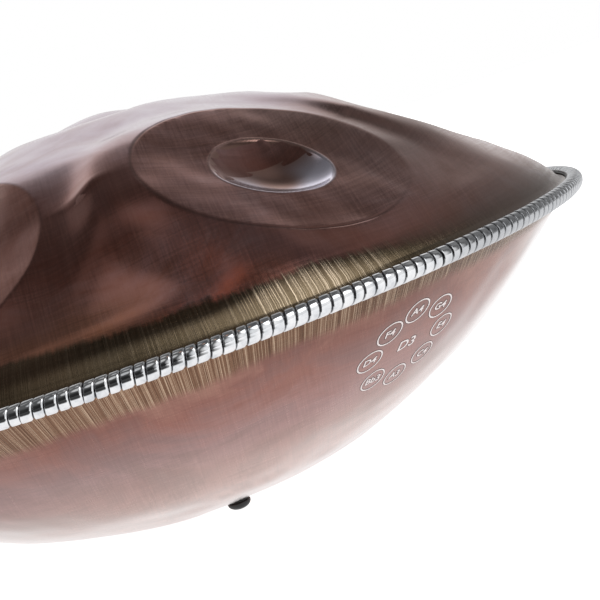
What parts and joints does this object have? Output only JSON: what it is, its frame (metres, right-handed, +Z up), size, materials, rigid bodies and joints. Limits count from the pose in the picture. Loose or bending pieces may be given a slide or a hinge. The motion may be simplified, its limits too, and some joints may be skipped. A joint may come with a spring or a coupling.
{
  "type": "handpan",
  "caption": "Handpan: bonded steel shells with dimpled tone fields and a raised centre bump, a port underneath, a wound metal rim trim and rubber feet.",
  "frame": {"origin": "on the ground below the centre of the instrument, level with the feet's resting faces", "axes": "+Z up through the crown of the upper shell; -Y towards the tone field seen in front; +X to the right of that side"},
  "size_m": [0.5296, 0.5296, 0.2361],
  "materials": {
    "steel_upper": "heat-tinted red-brown steel, fine radial brushing, satin gloss",
    "steel_lower": "heat-tinted red-brown steel with a golden brushed band under the rim",
    "adhesive": "cured structural adhesive",
    "rim_rubber": "black extruded edging",
    "wound_trim": "bright polished, spiral wound",
    "foot_rubber": "black, moulded, satin",
    "pad_adhesive": "pressure-sensitive adhesive pad"
  },
  "bodies": {
    "root": {"upper_shell": "steel_upper", "lower_shell": "steel_lower", "flange_bond": "adhesive", "rim_liner": "rim_rubber", "rim_trim": "wound_trim", "foot_1": "foot_rubber", "foot_2": "foot_rubber", "foot_3": "foot_rubber", "foot_4": "foot_rubber", "foot_pad_1": "pad_adhesive", "foot_pad_2": "pad_adhesive", "foot_pad_3": "pad_adhesive", "foot_pad_4": "pad_adhesive"}
  },
  "joints": []
}
